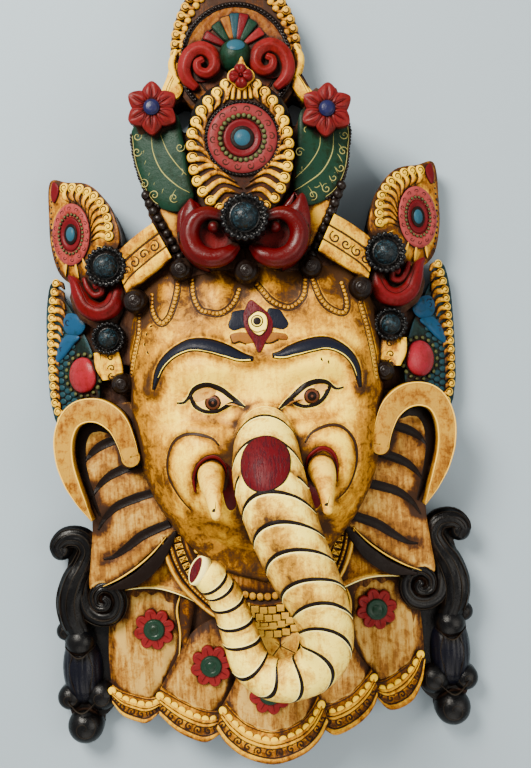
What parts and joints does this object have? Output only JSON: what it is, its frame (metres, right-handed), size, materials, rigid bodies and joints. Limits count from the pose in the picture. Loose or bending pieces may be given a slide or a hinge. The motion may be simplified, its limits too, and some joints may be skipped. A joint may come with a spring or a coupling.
{
  "type": "ganesha mask",
  "caption": "Carved and painted wooden wall mask of an elephant deity with a tall crown, curled trunk, ears, robe panels and hair locks, lying on its flat hollow back.",
  "frame": {"origin": "centre of the mask's outline on the flat back", "axes": "+Z out of the back through the face, +Y up to the crown, +X to the viewer's right"},
  "size_m": [0.4149, 0.7761, 0.1813],
  "materials": {
    "cream": "satin",
    "ivory": "satin",
    "gold": "satin",
    "robe": "satin",
    "red": "gloss",
    "coral": "satin",
    "green": "satin",
    "blue": "satin",
    "black": "gloss",
    "brown": "satin"
  },
  "bodies": {
    "root": {"mask": "cream"}
  },
  "joints": []
}
